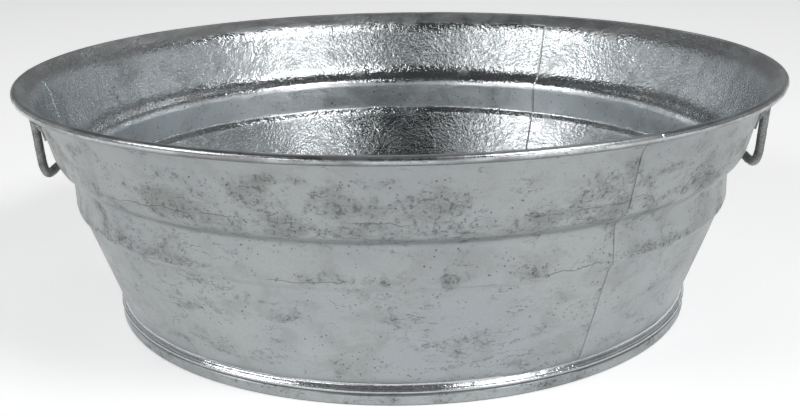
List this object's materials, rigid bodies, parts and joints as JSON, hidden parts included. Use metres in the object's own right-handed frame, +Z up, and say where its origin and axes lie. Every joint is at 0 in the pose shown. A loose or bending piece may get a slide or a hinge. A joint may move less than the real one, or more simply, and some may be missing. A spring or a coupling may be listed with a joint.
{
  "type": "galvanised tub",
  "caption": "Round galvanised steel tub with a stepped, tapering wall, a wired rolled rim, a seamed foot and swinging wire bails on bracket ears.",
  "frame": {"origin": "on the tub's axis, at the floor under the foot seam", "axes": "+Z up along the tub's axis, X through the two bails with +X to the right, -Y to the front"},
  "size_m": [0.445, 0.445, 0.14],
  "materials": {
    "galvanised_sheet": "hot-dip zinc, matt and mottled outside, brighter inside",
    "galvanised_bottom": "hot-dip zinc with a bright ridge on the foot seam",
    "galvanised_ears": "dull hot-dip zinc",
    "galvanised_bails": "dull dark rough hot-dip zinc",
    "rim_wire": "plain drawn wire, closed inside the roll"
  },
  "bodies": {
    "tub": {"front_panel": "galvanised_sheet", "right_panel": "galvanised_sheet", "back_panel": "galvanised_sheet", "rim_wire": "rim_wire", "bottom_panel": "galvanised_bottom", "left_front_ear": "galvanised_ears", "left_rear_ear": "galvanised_ears", "right_front_ear": "galvanised_ears", "right_rear_ear": "galvanised_ears"},
    "left_bail": {"left_bail": "galvanised_bails"},
    "right_bail": {"right_bail": "galvanised_bails"}
  },
  "joints": [
    {"name": "left_bail_hinge", "type": "hinge", "parent": "tub", "child": "left_bail", "pos_m": [-0.207, 0, 0.127], "axis": [0, 1, 0], "range_deg": [-9, 110]},
    {"name": "right_bail_hinge", "type": "hinge", "parent": "tub", "child": "right_bail", "pos_m": [0.207, 0, 0.127], "axis": [0, -1, 0], "range_deg": [-9, 110]}
  ]
}
